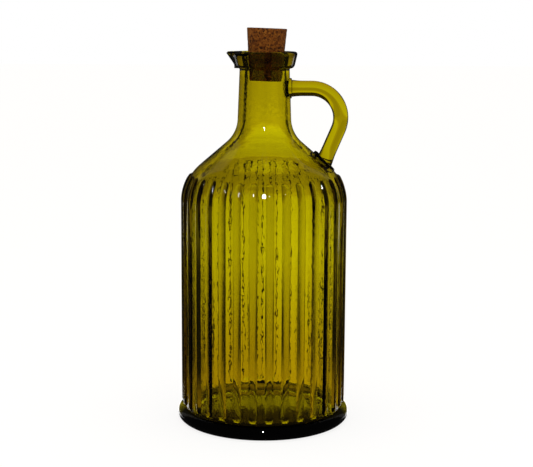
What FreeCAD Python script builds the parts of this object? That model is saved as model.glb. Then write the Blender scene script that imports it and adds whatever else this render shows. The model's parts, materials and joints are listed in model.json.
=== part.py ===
import FreeCAD, Part
import math
import os

import Sketcher

# A pressed-glass oil cruet with a pouring lip and a rod handle, and the tapered cork that closes it.
# Millimetres and degrees, +Z up. The origin is on the bottle's axis, on the face that it stands on.
# The beak of the lip points along -X, and the handle stands on the +X side.

doc = FreeCAD.newDocument("OilCruet")

# ---- driving dimensions: alias, value, meaning
DIMENSIONS = [
    ("bodyRadius", 51.3, "outside of the body between two ribs"),
    ("shoulderZ", 142.0, "height where the straight side ends"),
    ("shoulderArc", 30.0, "radius of the rounded shoulder, outside"),
    ("shoulderAngle", 49.3, "lean of the shoulder's cone from upright"),
    ("wall", 4.0, "glass thickness of body, shoulder and foot of the neck"),
    ("heelRadius", 5.0, "round section of the heel ring"),
    ("heelInset", 0.9, "how far the heel ring's centre circle lies inside the body's outside"),
    ("standWidth", 5.4, "width of the flat standing ring"),
    ("pushUp", 3.0, "rise of the underside at its centre"),
    ("floorRim", 4.2, "height of the inside floor at its rim"),
    ("floorDome", 2.6, "rise of the inside floor from its rim to its centre"),
    ("floorCorner", 4.0, "radius between inside floor and wall"),
    ("neckBlend", 20.0, "hollow radius between shoulder and neck, outside"),
    ("neckLow", 16.85, "neck radius just above the blend"),
    ("neckHigh", 15.7, "neck radius under the lip"),
    ("mouthRadius", 12.0, "inside radius of the mouth below its rounded rim"),
    ("mouthFlare", 0.5, "how much wider the mouth is than the bore under it"),
    ("mouthDepth", 8.0, "height of the flared mouth"),
    ("mouthBevel", 0.8, "width of the bevel on the mouth's rim"),
    ("cavityShift", 0.6, "how far the blown hollow lies off the axis, towards the handle"),
    ("lipTop", 236.0, "height of the bottle without its cork"),
    ("lipHeight", 9.6, "height of the lip's collar"),
    ("lipLow", 18.6, "collar radius at its foot"),
    ("lipHigh", 20.8, "collar radius at its top"),
    ("lipRound", 1.5, "rounding of the collar's edges"),
    ("beakReach", 24.0, "tip of the beak from the axis"),
    ("beakTip", 5.2, "radius of the beak's tip seen from above"),
    ("beakInset", 0.375, "how far the beak's outline lies inside the collar's top where they merge"),
    ("beakBevel", 1.0, "height and width of the bevel round the beak's top"),
    ("beakHeight", 7.1, "height over which the beak dies out below its bevel"),
    ("beakSlope", 35.0, "slope of the beak's underside from upright"),
    ("channelTip", 2.2, "radius of the pouring channel's end"),
    ("channelDepth", 2.0, "depth of the pouring channel"),
    ("channelSlope", 38.0, "slope of the channel's sides from upright"),
    ("channelEnd", 1.6, "glass left between the channel and the beak's bevel"),
    ("ribCount", 32, "number of ribs round the body"),
    ("ribWidth", 5.3, "width of a rib"),
    ("ribHeight", 1.45, "how far a rib stands out of the body"),
    ("ribFoot", 12.0, "height of the ribs' lower ends"),
    ("ribSweep", 29.0, "how far the ribs' middle line runs up the rounded shoulder"),
    ("ribShift", -1.4, "turn of the whole rib pattern about the axis"),
    ("handleZ", 213.2, "height of the handle's straight top"),
    ("handleRod", 4.8, "radius of the handle's rod"),
    ("handleStraight", 29.7, "end of the straight top from the axis"),
    ("handleBend", 18.36, "bend radius of the rod's centre line"),
    ("handleLean", 23.1, "lean of the rod's lower stretch from upright"),
    ("padRoot", 4.0, "how far the shoulder's pad is drawn past the wall before the hollow is cut"),
    ("neckPad", 6.4, "radius of the pad on the neck"),
    ("neckPadProud", 0.85, "how far that pad stands off the neck at the middle of its height"),
    ("shoulderPad", 8.8, "radius of the pad on the shoulder"),
    ("shoulderPadProud", 1.2, "how far that pad stands off the shoulder"),
    ("rodSunk", 8.8, "how far the rod runs on below the shoulder before the hollow is cut"),
    ("corkLength", 32.4, "length of the cork"),
    ("corkProud", 14.4, "length of the cork above the lip"),
    ("corkTaper", 0.074, "change of the cork's radius per millimetre of length"),
    ("corkLean", 1.93, "lean of the cork towards the handle"),
    ("corkShift", 0.34, "how far the cork sits off the mouth's centre, towards the handle"),
    ("corkClearance", 0.19, "gap between cork and mouth where they are nearest"),
    ("corkBevel", 0.4, "bevel on the cork's two rims"),
]

sheet = doc.addObject("Spreadsheet::Sheet", "Sizes")
for row, (alias, value, meaning) in enumerate(DIMENSIONS, start=1):
    sheet.set("A%d" % row, meaning)
    sheet.set("B%d" % row, str(value))
    sheet.setAlias("B%d" % row, alias)
doc.recompute()

# ---- lengths that follow from the driving ones
# Upright is +Z and outward is away from the axis. The shoulder's cone is tangent to its rounded part.
DERIVED = [
    ("innerRadius", "Sizes.bodyRadius - Sizes.wall"),
    ("heelRing", "Sizes.bodyRadius - Sizes.heelInset"),
    ("standInner", "Derived.heelRing - Sizes.standWidth"),
    ("arcCentre", "Sizes.bodyRadius - Sizes.shoulderArc"),
    ("coneAngle", "90 + Sizes.shoulderAngle"),
    ("lipFoot", "Sizes.lipTop - Sizes.lipHeight"),
    ("boreLow", "Sizes.neckLow - Sizes.wall"),
    ("boreHigh", "Sizes.mouthRadius - Sizes.mouthFlare"),
    ("mouthFoot", "Sizes.lipTop - Sizes.mouthDepth"),
    ("ribRod", "(Sizes.ribWidth^2 / 4 + Sizes.ribHeight^2) / (2 * Sizes.ribHeight)"),
    ("ribCentre", "Sizes.bodyRadius + Sizes.ribHeight - Derived.ribRod"),
    ("ribBottom", "Sizes.ribFoot + Sizes.ribWidth / 2"),
    ("ribArc", "Derived.ribCentre - Derived.arcCentre"),
    ("ribTurn", "180 / Sizes.ribCount + Sizes.ribShift"),
    ("beakPlane", "Sizes.lipTop - Sizes.beakBevel"),
    ("collarAtBeak", "Sizes.lipHigh - Sizes.beakInset"),
    ("handleLow", "Sizes.handleZ - Sizes.handleBend"),
    ("bendEndX", "Sizes.handleStraight + Sizes.handleBend * cos(Sizes.handleLean)"),
    ("bendEndZ", "Derived.handleLow - Sizes.handleBend * sin(Sizes.handleLean)"),
    # distance of the bend's end from the shoulder's cone, and along the rod to it
    ("bendOffCone",
     "(Derived.bendEndX - Derived.arcCentre) * cos(Sizes.shoulderAngle)"
     " + (Derived.bendEndZ - Sizes.shoulderZ) * sin(Sizes.shoulderAngle) - Sizes.shoulderArc"),
    ("rodToCone", "Derived.bendOffCone / sin(Sizes.handleLean + Sizes.shoulderAngle)"),
    ("landingX", "Derived.bendEndX - Derived.rodToCone * sin(Sizes.handleLean)"),
    ("landingZ", "Derived.bendEndZ - Derived.rodToCone * cos(Sizes.handleLean)"),
    ("padDepth", "Sizes.wall + Sizes.padRoot"),
    ("rodEndZ", "Derived.landingZ - Sizes.rodSunk"),
    ("corkAtLip", "Sizes.mouthRadius - Sizes.corkShift - Sizes.corkClearance"),
    ("corkTop", "Derived.corkAtLip + Sizes.corkTaper * Sizes.corkProud"),
    ("corkBottom", "Derived.corkTop - Sizes.corkTaper * Sizes.corkLength"),
    ("corkSunk", "Sizes.corkLength - Sizes.corkProud"),
]

derived = doc.addObject("App::FeaturePython", "Derived")
for name, formula in DERIVED:
    derived.addProperty("App::PropertyFloat", name, "Lengths")
    derived.setExpression(name, formula)
doc.recompute()


def size(name):
    """A driving or derived dimension as a number, to draw each shape near its place."""
    if name in derived.PropertiesList:
        return float(getattr(derived, name))
    return float(sheet.get(name))


# ---- sketch helpers
ORIGIN = (-1, 1)
X_AXIS = -1
Y_AXIS = -2
START, END, CENTRE = 1, 2, 3


def new_sketch(body, name, plane_role):
    """A sketch on one of the body's own origin planes."""
    sketch = body.newObject("Sketcher::SketchObject", name)
    plane = [feature for feature in body.Origin.OriginFeatures if feature.Role == plane_role][0]
    sketch.AttachmentSupport = (plane, "")
    sketch.MapMode = "FlatFace"
    return sketch


def line(sketch, x0, y0, x1, y1):
    return sketch.addGeometry(Part.LineSegment(FreeCAD.Vector(x0, y0, 0), FreeCAD.Vector(x1, y1, 0)))


def arc(sketch, x, y, radius, start, end):
    """An arc drawn anticlockwise between two angles in degrees."""
    circle = Part.Circle(FreeCAD.Vector(x, y, 0), FreeCAD.Vector(0, 0, 1), radius)
    return sketch.addGeometry(Part.ArcOfCircle(circle, math.radians(start), math.radians(end)))


def hold(sketch, kind, *items, by=None):
    """One constraint, bound to a formula when it has a size."""
    index = sketch.addConstraint(Sketcher.Constraint(kind, *items))
    if by:
        sketch.setExpression("Constraints[%d]" % index, by)


def hold_x(sketch, piece, point, name, by):
    hold(sketch, "DistanceX", *ORIGIN, piece, point, size(name), by=by)


def hold_y(sketch, piece, point, name, by):
    hold(sketch, "DistanceY", *ORIGIN, piece, point, size(name), by=by)


def revolve(body, kind, name, sketch):
    """A full turn of a sketch about its upright axis, added or cut."""
    feature = body.newObject(kind, name)
    feature.Profile = sketch
    feature.ReferenceAxis = (sketch, ["V_Axis"])
    feature.Angle = 360
    return feature


def pad(body, kind, name, sketch, length_by, taper, downward):
    feature = body.newObject(kind, name)
    feature.Profile = sketch
    feature.setExpression("Length", length_by)
    feature.Reversed = downward
    if taper:
        feature.setExpression("TaperAngle", taper)
    return feature


# ---- the wall's outline, used outside and, set in by the wall, inside
def wall_outline(sketch, side, radius, arc_radius, blend_radius, neck_low, neck_high, neck_top):
    """Straight side, rounded shoulder, cone, hollow blend and tapered neck above one start point.

    Each size is a pair: its value, to draw with, and its formula. side is the upright line's first point.
    Gives the indices of the first and last line.
    """
    centre_x = size("arcCentre")
    z = size("shoulderZ")
    lean = math.radians(size("shoulderAngle"))
    cone_x = centre_x + arc_radius[0] * math.cos(lean)
    cone_z = z + arc_radius[0] * math.sin(lean)
    blend_x = neck_low[0] + blend_radius[0]
    blend_z = cone_z + (blend_radius[0] - (blend_x - cone_x) * math.cos(lean)) / math.sin(lean)
    foot_x = blend_x - blend_radius[0] * math.cos(lean)
    foot_z = blend_z - blend_radius[0] * math.sin(lean)

    upright = line(sketch, radius[0], side, radius[0], z)
    shoulder = arc(sketch, centre_x, z, arc_radius[0], 0, size("shoulderAngle"))
    cone = line(sketch, cone_x, cone_z, foot_x, foot_z)
    blend = arc(sketch, blend_x, blend_z, blend_radius[0], 180, 180 + size("shoulderAngle"))
    neck = line(sketch, neck_low[0], blend_z, neck_high[0], neck_top[0])

    hold(sketch, "Vertical", upright)
    hold(sketch, "DistanceX", *ORIGIN, upright, END, radius[0], by=radius[1])
    hold_y(sketch, upright, END, "shoulderZ", "Sizes.shoulderZ")
    hold(sketch, "Tangent", upright, END, shoulder, START)
    hold(sketch, "Radius", shoulder, arc_radius[0], by=arc_radius[1])
    hold(sketch, "Tangent", shoulder, END, cone, START)
    hold(sketch, "Angle", cone, math.radians(size("coneAngle")), by="Derived.coneAngle")
    hold(sketch, "Tangent", cone, END, blend, END)
    hold(sketch, "Radius", blend, blend_radius[0], by=blend_radius[1])
    hold(sketch, "Tangent", blend, START, neck, START)
    hold(sketch, "DistanceX", *ORIGIN, neck, START, neck_low[0], by=neck_low[1])
    hold(sketch, "DistanceX", *ORIGIN, neck, END, neck_high[0], by=neck_high[1])
    hold(sketch, "DistanceY", *ORIGIN, neck, END, neck_top[0], by=neck_top[1])
    return upright, neck


def named(name, formula=None):
    """The value and the formula of one dimension."""
    return size(name), formula or ("Derived." if name in derived.PropertiesList else "Sizes.") + name


def dome(sketch, rim_x, rim_z, rise):
    """A shallow dome on the axis, from its rim to its crown. Each size is a pair as above."""
    radius = (rim_x[0] ** 2 + rise[0] ** 2) / (2 * rise[0])
    low = rim_z[0] + rise[0] - radius
    rim_angle = math.degrees(math.asin((rim_z[0] - low) / radius))
    crown = arc(sketch, 0, low, radius, rim_angle, 90)
    hold(sketch, "PointOnObject", crown, CENTRE, Y_AXIS)
    hold(sketch, "PointOnObject", crown, END, Y_AXIS)
    hold(sketch, "DistanceX", *ORIGIN, crown, START, rim_x[0], by=rim_x[1])
    hold(sketch, "DistanceY", crown, START, crown, END, rise[0], by=rise[1])
    return crown


# ---- glass: the turned outside
glass = doc.addObject("PartDesign::Body", "Glass")
glass.Label = "glass_bottle"

outside = new_sketch(glass, "Outside", "XZ_Plane")
underside = dome(outside, named("standInner"), (0.0, "0"), named("pushUp"))
hold(outside, "PointOnObject", underside, START, X_AXIS)
stand = line(outside, size("standInner"), 0, size("heelRing"), 0)
heel_rise = math.sqrt(size("heelRadius") ** 2 - size("heelInset") ** 2)
heel_end = math.degrees(math.atan2(heel_rise, size("heelInset")))
heel = arc(outside, size("heelRing"), size("heelRadius"), size("heelRadius"), -90, heel_end)
upright, neck = wall_outline(
    outside, size("heelRadius") + heel_rise, named("bodyRadius"), named("shoulderArc"),
    named("neckBlend"), named("neckLow"), named("neckHigh"), named("lipFoot"))
collar_foot = line(outside, size("neckHigh"), size("lipFoot"), size("lipLow"), size("lipFoot"))
collar = line(outside, size("lipLow"), size("lipFoot"), size("lipHigh"), size("lipTop"))
top = line(outside, size("lipHigh"), size("lipTop"), 0, size("lipTop"))
axis_line = line(outside, 0, size("lipTop"), 0, size("pushUp"))

hold(outside, "Coincident", underside, START, stand, START)
hold(outside, "Horizontal", stand)
hold(outside, "Tangent", stand, END, heel, START)
hold_x(outside, heel, CENTRE, "heelRing", "Derived.heelRing")
hold(outside, "Radius", heel, size("heelRadius"), by="Sizes.heelRadius")
hold(outside, "Coincident", heel, END, upright, START)
hold(outside, "Coincident", neck, END, collar_foot, START)
hold(outside, "Horizontal", collar_foot)
hold_x(outside, collar_foot, END, "lipLow", "Sizes.lipLow")
hold(outside, "Coincident", collar_foot, END, collar, START)
hold_x(outside, collar, END, "lipHigh", "Sizes.lipHigh")
hold_y(outside, collar, END, "lipTop", "Sizes.lipTop")
hold(outside, "Coincident", collar, END, top, START)
hold(outside, "Horizontal", top)
hold(outside, "PointOnObject", top, END, Y_AXIS)
hold(outside, "Coincident", top, END, axis_line, START)
hold(outside, "Coincident", axis_line, END, underside, END)

turned = revolve(glass, "PartDesign::Revolution", "Turned", outside)
doc.recompute()


def ring_edges(shape, rings):
    """The names of the level full-circle edges at the given (radius, height) places."""
    names = []
    for number, edge in enumerate(shape.Edges, start=1):
        box = edge.BoundBox
        for radius, height in rings:
            if box.ZLength < 0.01 and abs(box.ZMin - height) < 0.01 and abs(box.XLength / 2 - radius) < 0.01:
                names.append("Edge%d" % number)
    return names


collar_edges = glass.newObject("PartDesign::Fillet", "CollarEdges")
collar_rings = [(size("lipLow"), size("lipFoot")), (size("lipHigh"), size("lipTop"))]
collar_edges.Base = (turned, ring_edges(turned.Shape, collar_rings))
collar_edges.setExpression("Radius", "Sizes.lipRound")
doc.recompute()


# ---- glass: one rib with round ends, and its copies round the body
def rib_plane(name):
    """A sketch in the upright plane through the axis and the first rib's middle line."""
    sketch = new_sketch(glass, name, "XZ_Plane")
    sketch.AttachmentOffset = FreeCAD.Placement(
        FreeCAD.Vector(0, 0, 0), FreeCAD.Rotation(FreeCAD.Vector(0, 1, 0), 1))
    sketch.setExpression("AttachmentOffset.Rotation.Angle", "Derived.ribTurn")
    return sketch


def turning_line(sketch, x, z_low, z_high):
    """An upright construction line to turn a section about."""
    axis = line(sketch, x[0], z_low[0], x[0], z_high[0])
    sketch.toggleConstruction(axis)
    hold(sketch, "Vertical", axis)
    hold(sketch, "DistanceX", *ORIGIN, axis, START, x[0], by=x[1])
    hold(sketch, "DistanceY", *ORIGIN, axis, START, z_low[0], by=z_low[1])
    hold(sketch, "DistanceY", *ORIGIN, axis, END, z_high[0], by=z_high[1])
    return axis


def turn(name, sketch, angle_by):
    """A section turned about its sketch's construction line."""
    feature = glass.newObject("PartDesign::Revolution", name)
    feature.Profile = sketch
    feature.ReferenceAxis = (sketch, ["Axis0"])
    feature.setExpression("Angle", angle_by)
    return feature


rod_radius = size("ribRod")

# the upright stretch with its round foot
rib_low = rib_plane("RibLow")
rib_axis = turning_line(rib_low, named("ribCentre"), named("ribBottom"), named("shoulderZ"))
foot = arc(rib_low, size("ribCentre"), size("ribBottom"), rod_radius, -90, 0)
side = line(rib_low, size("ribCentre") + rod_radius, size("ribBottom"),
            size("ribCentre") + rod_radius, size("shoulderZ"))
head = line(rib_low, size("ribCentre") + rod_radius, size("shoulderZ"), size("ribCentre"), size("shoulderZ"))
back = line(rib_low, size("ribCentre"), size("shoulderZ"), size("ribCentre"), size("ribBottom") - rod_radius)
hold(rib_low, "Coincident", foot, CENTRE, rib_axis, START)
hold(rib_low, "Radius", foot, rod_radius, by="Derived.ribRod")
hold(rib_low, "PointOnObject", foot, START, rib_axis)
hold(rib_low, "Tangent", foot, END, side, START)
hold(rib_low, "Vertical", side)
hold(rib_low, "Coincident", side, END, head, START)
hold(rib_low, "Horizontal", head)
hold(rib_low, "Coincident", head, END, rib_axis, END)
hold(rib_low, "Coincident", head, END, back, START)
hold(rib_low, "Coincident", back, END, foot, START)
rib_upright = turn("RibUpright", rib_low, "360")

# the stretch that follows the rounded shoulder
rib_high = new_sketch(glass, "RibHigh", "XY_Plane")
rib_high.AttachmentOffset = FreeCAD.Placement(
    FreeCAD.Vector(0, 0, size("shoulderZ")), FreeCAD.Rotation(FreeCAD.Vector(0, 0, 1), 1))
rib_high.setExpression("AttachmentOffset.Rotation.Angle", "Derived.ribTurn")
rib_high.setExpression("AttachmentOffset.Base.z", "Sizes.shoulderZ")
section = rib_high.addGeometry(
    Part.Circle(FreeCAD.Vector(size("ribCentre"), 0, 0), FreeCAD.Vector(0, 0, 1), rod_radius))
hinge = line(rib_high, size("arcCentre"), rod_radius, size("arcCentre"), -rod_radius)
rib_high.toggleConstruction(hinge)
hold(rib_high, "PointOnObject", section, CENTRE, X_AXIS)
hold_x(rib_high, section, CENTRE, "ribCentre", "Derived.ribCentre")
hold(rib_high, "Radius", section, rod_radius, by="Derived.ribRod")
hold_x(rib_high, hinge, START, "arcCentre", "Derived.arcCentre")
hold_y(rib_high, hinge, START, "ribRod", "Derived.ribRod")
hold(rib_high, "Symmetric", hinge, START, hinge, END, X_AXIS)
rib_bend = turn("RibBend", rib_high, "Sizes.ribSweep")

# the half ball that rounds its upper end, turned about the direction in which the rib ends
sweep = size("ribSweep")
head_x = size("arcCentre") + size("ribArc") * math.cos(math.radians(sweep))
head_z = size("shoulderZ") + size("ribArc") * math.sin(math.radians(sweep))
tip_x = head_x - rod_radius * math.sin(math.radians(sweep))
tip_z = head_z + rod_radius * math.cos(math.radians(sweep))
rim_x = head_x + rod_radius * math.cos(math.radians(sweep))
rim_z = head_z + rod_radius * math.sin(math.radians(sweep))
rib_tip = rib_plane("RibTip")
tip_axis = line(rib_tip, head_x, head_z, tip_x, tip_z)
rib_tip.toggleConstruction(tip_axis)
tip_round = arc(rib_tip, head_x, head_z, rod_radius, sweep, sweep + 90)
tip_back = line(rib_tip, tip_x, tip_z, head_x, head_z)
tip_base = line(rib_tip, head_x, head_z, rim_x, rim_z)
hold(rib_tip, "DistanceX", *ORIGIN, tip_axis, START, head_x,
     by="Derived.arcCentre + Derived.ribArc * cos(Sizes.ribSweep)")
hold(rib_tip, "DistanceY", *ORIGIN, tip_axis, START, head_z,
     by="Sizes.shoulderZ + Derived.ribArc * sin(Sizes.ribSweep)")
hold(rib_tip, "Angle", tip_axis, math.radians(90 + sweep), by="90 + Sizes.ribSweep")
hold(rib_tip, "Coincident", tip_round, CENTRE, tip_axis, START)
hold(rib_tip, "Coincident", tip_round, END, tip_axis, END)
hold(rib_tip, "Radius", tip_round, rod_radius, by="Derived.ribRod")
hold(rib_tip, "Coincident", tip_back, START, tip_round, END)
hold(rib_tip, "Coincident", tip_back, END, tip_round, CENTRE)
hold(rib_tip, "Coincident", tip_base, START, tip_round, CENTRE)
hold(rib_tip, "Coincident", tip_base, END, tip_round, START)
hold(rib_tip, "Perpendicular", tip_base, tip_axis)
rib_head = turn("RibHead", rib_tip, "360")
doc.recompute()

ribs = glass.newObject("PartDesign::PolarPattern", "Ribs")
ribs.Originals = [rib_upright, rib_bend, rib_head]
ribs.Axis = ([feature for feature in glass.Origin.OriginFeatures if feature.Role == "Z_Axis"][0], [""])
ribs.Angle = 360
ribs.setExpression("Occurrences", "Sizes.ribCount")
glass.Tip = ribs
doc.recompute()

# ---- glass: the beak that the lip is drawn out to
def drawn_circle(sketch, big, tip, tip_x):
    """A circle about the origin drawn out towards -X round a smaller one, each size a pair."""
    half = math.degrees(math.acos((big[0] - tip[0]) / -tip_x[0]))
    away = math.radians(180 - half)
    ring = arc(sketch, 0, 0, big[0], half - 180, 180 - half)
    end = arc(sketch, tip_x[0], 0, tip[0], 180 - half, 180 + half)
    corners = []
    for side in (1, -1):
        corners.append((
            big[0] * math.cos(away), side * big[0] * math.sin(away),
            tip_x[0] + tip[0] * math.cos(away), side * tip[0] * math.sin(away)))
    upper = line(sketch, *corners[0])
    lower = line(sketch, *corners[1])
    hold(sketch, "Coincident", ring, CENTRE, *ORIGIN)
    hold(sketch, "PointOnObject", end, CENTRE, X_AXIS)
    hold(sketch, "Radius", ring, big[0], by=big[1])
    hold(sketch, "Radius", end, tip[0], by=tip[1])
    hold(sketch, "Tangent", ring, END, upper, START)
    hold(sketch, "Tangent", upper, END, end, START)
    hold(sketch, "Tangent", end, END, lower, END)
    hold(sketch, "Tangent", lower, START, ring, START)
    hold(sketch, "DistanceX", end, CENTRE, *ORIGIN, -tip_x[0], by=tip_x[1])


for name, length_by, taper, downward in (
        ("BeakUnder", "Sizes.beakHeight", "-Sizes.beakSlope", True),
        ("BeakBevel", "Sizes.beakBevel", "-45", False)):
    outline = new_sketch(glass, name + "Outline", "XY_Plane")
    outline.setExpression("AttachmentOffset.Base.z", "Derived.beakPlane")
    drawn_circle(
        outline, named("collarAtBeak"), named("beakTip"),
        (size("beakTip") - size("beakReach"), "Sizes.beakReach - Sizes.beakTip"))
    pad(glass, "PartDesign::Pad", name, outline, length_by, taper, downward)
    doc.recompute()

# ---- glass: the pads that the handle's ends are pressed into
neck_pad_outline = new_sketch(glass, "NeckPadOutline", "YZ_Plane")
neck_pad_circle = neck_pad_outline.addGeometry(
    Part.Circle(FreeCAD.Vector(0, size("handleZ"), 0), FreeCAD.Vector(0, 0, 1), size("neckPad")))
hold(neck_pad_outline, "PointOnObject", neck_pad_circle, CENTRE, Y_AXIS)
hold_y(neck_pad_outline, neck_pad_circle, CENTRE, "handleZ", "Sizes.handleZ")
hold(neck_pad_outline, "Radius", neck_pad_circle, size("neckPad"), by="Sizes.neckPad")
neck_pad = pad(
    glass, "PartDesign::Pad", "NeckPad", neck_pad_outline,
    "(Sizes.neckLow + Sizes.neckHigh) / 2 + Sizes.neckPadProud", None, False)

shoulder_pad = glass.newObject("PartDesign::AdditiveCylinder", "ShoulderPad")
shoulder_pad.AttachmentOffset = FreeCAD.Placement(
    FreeCAD.Vector(0, 0, 0), FreeCAD.Rotation(FreeCAD.Vector(0, 1, 0), 1))
shoulder_pad.setExpression("Radius", "Sizes.shoulderPad")
shoulder_pad.setExpression("Height", "Derived.padDepth + Sizes.shoulderPadProud")
shoulder_pad.AttachmentSupport = (
    [feature for feature in glass.Origin.OriginFeatures if feature.Role == "XY_Plane"][0], "")
shoulder_pad.MapMode = "FlatFace"
shoulder_pad.setExpression("AttachmentOffset.Rotation.Angle", "90 - Sizes.shoulderAngle")
shoulder_pad.setExpression(
    "AttachmentOffset.Base.x", "Derived.landingX - Derived.padDepth * cos(Sizes.shoulderAngle)")
shoulder_pad.setExpression(
    "AttachmentOffset.Base.z", "Derived.landingZ - Derived.padDepth * sin(Sizes.shoulderAngle)")
doc.recompute()

# ---- glass: the handle's rod, from the neck round its bend into the shoulder
rod_path = new_sketch(glass, "RodPath", "XZ_Plane")
lean = math.radians(size("handleLean"))
rod_end_x = size("bendEndX") - (size("bendEndZ") - size("rodEndZ")) * math.tan(lean)
straight = line(rod_path, 0, size("handleZ"), size("handleStraight"), size("handleZ"))
bend = arc(rod_path, size("handleStraight"), size("handleLow"), size("handleBend"), -size("handleLean"), 90)
lower = line(rod_path, size("bendEndX"), size("bendEndZ"), rod_end_x, size("rodEndZ"))
hold(rod_path, "PointOnObject", straight, START, Y_AXIS)
hold(rod_path, "Horizontal", straight)
hold_x(rod_path, straight, END, "handleStraight", "Sizes.handleStraight")
hold_y(rod_path, straight, END, "handleZ", "Sizes.handleZ")
hold(rod_path, "Tangent", straight, END, bend, END)
hold(rod_path, "Radius", bend, size("handleBend"), by="Sizes.handleBend")
hold(rod_path, "Tangent", bend, START, lower, START)
hold_x(rod_path, lower, START, "bendEndX", "Derived.bendEndX")
hold_y(rod_path, lower, END, "rodEndZ", "Derived.rodEndZ")

rod_section = new_sketch(glass, "RodSection", "YZ_Plane")
rod_circle = rod_section.addGeometry(
    Part.Circle(FreeCAD.Vector(0, size("handleZ"), 0), FreeCAD.Vector(0, 0, 1), size("handleRod")))
hold(rod_section, "PointOnObject", rod_circle, CENTRE, Y_AXIS)
hold_y(rod_section, rod_circle, CENTRE, "handleZ", "Sizes.handleZ")
hold(rod_section, "Radius", rod_circle, size("handleRod"), by="Sizes.handleRod")

rod = glass.newObject("PartDesign::AdditivePipe", "HandleRod")
rod.Profile = rod_section
rod.Spine = rod_path
doc.recompute()

# ---- glass: the blown hollow
hollow = new_sketch(glass, "Hollow", "XZ_Plane")
hollow.setExpression("AttachmentOffset.Base.x", "Sizes.cavityShift")
floor = dome(
    hollow, (size("innerRadius") - size("floorCorner"), "Derived.innerRadius - Sizes.floorCorner"),
    named("floorRim"), named("floorDome"))
hold_y(hollow, floor, START, "floorRim", "Sizes.floorRim")
corner = arc(
    hollow, size("innerRadius") - size("floorCorner"), size("floorRim") + size("floorCorner"),
    size("floorCorner"), -90, 0)
inner_upright, bore = wall_outline(
    hollow, size("floorRim") + size("floorCorner"), named("innerRadius"),
    (size("shoulderArc") - size("wall"), "Sizes.shoulderArc - Sizes.wall"),
    (size("neckBlend") + size("wall"), "Sizes.neckBlend + Sizes.wall"),
    named("boreLow"), named("boreHigh"), named("mouthFoot"))
rim_foot = size("lipTop") - size("mouthBevel")
rim_radius = size("mouthRadius") + size("mouthBevel")
above = size("lipTop") + size("mouthDepth")
mouth = line(hollow, size("boreHigh"), size("mouthFoot"), size("mouthRadius"), rim_foot)
rim = line(hollow, size("mouthRadius"), rim_foot, rim_radius, size("lipTop"))
clear_side = line(hollow, rim_radius, size("lipTop"), rim_radius, above)
clear_top = line(hollow, rim_radius, above, 0, above)
middle = line(hollow, 0, above, 0, size("floorRim") + size("floorDome"))

hold(hollow, "Tangent", corner, END, inner_upright, START)
hold(hollow, "Radius", corner, size("floorCorner"), by="Sizes.floorCorner")
hold(hollow, "Coincident", floor, START, corner, START)
hold(hollow, "Coincident", bore, END, mouth, START)
hold_x(hollow, mouth, END, "mouthRadius", "Sizes.mouthRadius")
hold(hollow, "DistanceY", *ORIGIN, mouth, END, rim_foot, by="Sizes.lipTop - Sizes.mouthBevel")
hold(hollow, "Coincident", mouth, END, rim, START)
hold(hollow, "DistanceX", *ORIGIN, rim, END, rim_radius, by="Sizes.mouthRadius + Sizes.mouthBevel")
hold_y(hollow, rim, END, "lipTop", "Sizes.lipTop")
hold(hollow, "Coincident", rim, END, clear_side, START)
hold(hollow, "Vertical", clear_side)
hold(hollow, "DistanceY", *ORIGIN, clear_side, END, above, by="Sizes.lipTop + Sizes.mouthDepth")
hold(hollow, "Coincident", clear_side, END, clear_top, START)
hold(hollow, "Horizontal", clear_top)
hold(hollow, "PointOnObject", clear_top, END, Y_AXIS)
hold(hollow, "Coincident", clear_top, END, middle, START)
hold(hollow, "Coincident", middle, END, floor, END)
solid_volume = rod.Shape.Volume
blown = revolve(glass, "PartDesign::Groove", "Blown", hollow)
doc.recompute()
if blown.Shape.Volume > solid_volume / 2:
    raise RuntimeError("the hollow took too little glass away")

# ---- glass: the pouring channel, from the mouth to the beak's tip
channel_outline = new_sketch(glass, "ChannelOutline", "XY_Plane")
channel_outline.setExpression("AttachmentOffset.Base.z", "Sizes.lipTop")
drawn_circle(
    channel_outline, named("mouthRadius"), named("channelTip"),
    (size("channelTip") + size("channelEnd") + size("beakBevel") - size("beakReach"),
     "Sizes.beakReach - Sizes.beakBevel - Sizes.channelEnd - Sizes.channelTip"))
channel = glass.newObject("PartDesign::Pocket", "Channel")
channel.Profile = channel_outline
channel.setExpression("Length", "Sizes.channelDepth")
channel.setExpression("TaperAngle", "-Sizes.channelSlope")
channel.Reversed = False
doc.recompute()
if not 0 < blown.Shape.Volume - channel.Shape.Volume < glass.Shape.Volume / 100:
    raise RuntimeError("the pouring channel isn't cut as it should be")

# ---- the cork, drawn about its own upright axis with its origin level with the lip
cork = doc.addObject("PartDesign::Body", "Cork")
cork.Label = "cork"
cork_profile = new_sketch(cork, "CorkProfile", "XZ_Plane")
low, high = -size("corkSunk"), size("corkProud")
bevel = size("corkBevel")
bottom, crown = size("corkBottom"), size("corkTop")
cork_points = [
    (0, low, None, "Derived.corkSunk"),
    (bottom - bevel, low, "Derived.corkBottom - Sizes.corkBevel", "Derived.corkSunk"),
    (bottom, low + bevel, "Derived.corkBottom", "Derived.corkSunk - Sizes.corkBevel"),
    (crown, high - bevel, "Derived.corkTop", "Sizes.corkProud - Sizes.corkBevel"),
    (crown - bevel, high, "Derived.corkTop - Sizes.corkBevel", "Sizes.corkProud"),
    (0, high, None, "Sizes.corkProud"),
]
cork_sides = []
for number, point in enumerate(cork_points):
    following = cork_points[(number + 1) % len(cork_points)]
    cork_sides.append(line(cork_profile, point[0], point[1], following[0], following[1]))
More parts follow.
